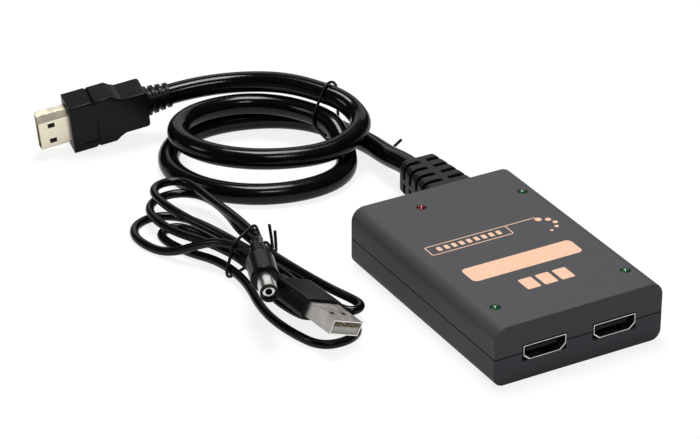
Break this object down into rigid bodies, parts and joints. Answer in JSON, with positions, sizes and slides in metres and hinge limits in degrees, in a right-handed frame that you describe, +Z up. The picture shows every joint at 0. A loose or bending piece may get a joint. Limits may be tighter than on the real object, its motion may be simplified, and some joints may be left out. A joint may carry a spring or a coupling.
{
  "type": "hdmi splitter",
  "caption": "Flat box with a captive coiled video lead and plug at the back, video outputs in front, indicator lamps on top, and a bundled power lead beside it.",
  "frame": {"origin": "middle of the case's foot, on the surface it stands on", "axes": "+Z up; the outputs face -Y and the captive lead leaves at +Y; +X is the side of the power inlet"},
  "size_m": [0.113, 0.2025, 0.022],
  "materials": {
    "case_top": "fine texture",
    "case_bottom": "fine texture",
    "screw": "plated",
    "red_light": "clear tinted",
    "green_light": "clear tinted",
    "tinned_wire": "tinned",
    "board": "solder mask",
    "chip": "moulded",
    "can": "drawn",
    "port_metal": "nickel plated",
    "port_plastic": "moulded",
    "contact": "gold plated",
    "jack_plastic": "moulded",
    "jack_metal": "nickel plated",
    "soft_black": "soft moulded",
    "lead_jacket": "smooth",
    "conductor": "insulated",
    "tie": "coated wire",
    "wire_jacket": "smooth",
    "plug_black": "moulded",
    "usb_insert": "moulded"
  },
  "bodies": {
    "splitter": {"top_case": "case_top", "bottom_case": "case_bottom", "case_screws": "screw", "power_light": "red_light", "input_light": "green_light", "output_light_1": "green_light", "output_light_2": "green_light", "light_legs": "tinned_wire", "circuit_board": "board", "splitter_chip": "chip", "support_chips": "chip", "crystal": "can", "chip_resistors": "chip", "capacitors": "can", "output_socket_shell_1": "port_metal", "output_socket_shell_2": "port_metal", "output_socket_tongue_1": "port_plastic", "output_socket_tongue_2": "port_plastic", "output_socket_contacts_1": "contact", "output_socket_contacts_2": "contact", "dc_jack_body": "jack_plastic", "dc_jack_pin": "jack_metal", "dc_jack_spring": "jack_metal", "strain_relief": "soft_black", "lead_conductors": "conductor", "input_lead_start": "lead_jacket", "input_lead_coil": "lead_jacket", "input_lead_end": "lead_jacket", "coil_tie": "tie", "plug_grip": "soft_black", "plug_shell": "port_metal", "plug_insert": "port_plastic", "plug_contacts": "contact"},
    "power_lead": {"power_cord_start": "wire_jacket", "power_cord_hank": "wire_jacket", "power_cord_end": "wire_jacket", "power_cord_tie": "tie", "usb_grip": "plug_black", "usb_shell": "port_metal", "usb_insert": "usb_insert", "usb_contacts": "contact", "dc_grip": "plug_black", "dc_barrel": "jack_metal", "dc_tip_ring": "jack_plastic", "dc_inner_contact": "contact"}
  },
  "joints": [
    {"name": "power_lead_lift", "type": "slide", "parent": "splitter", "child": "power_lead", "axis": [0, 0, 1], "range_m": [0, 0.1]}
  ]
}
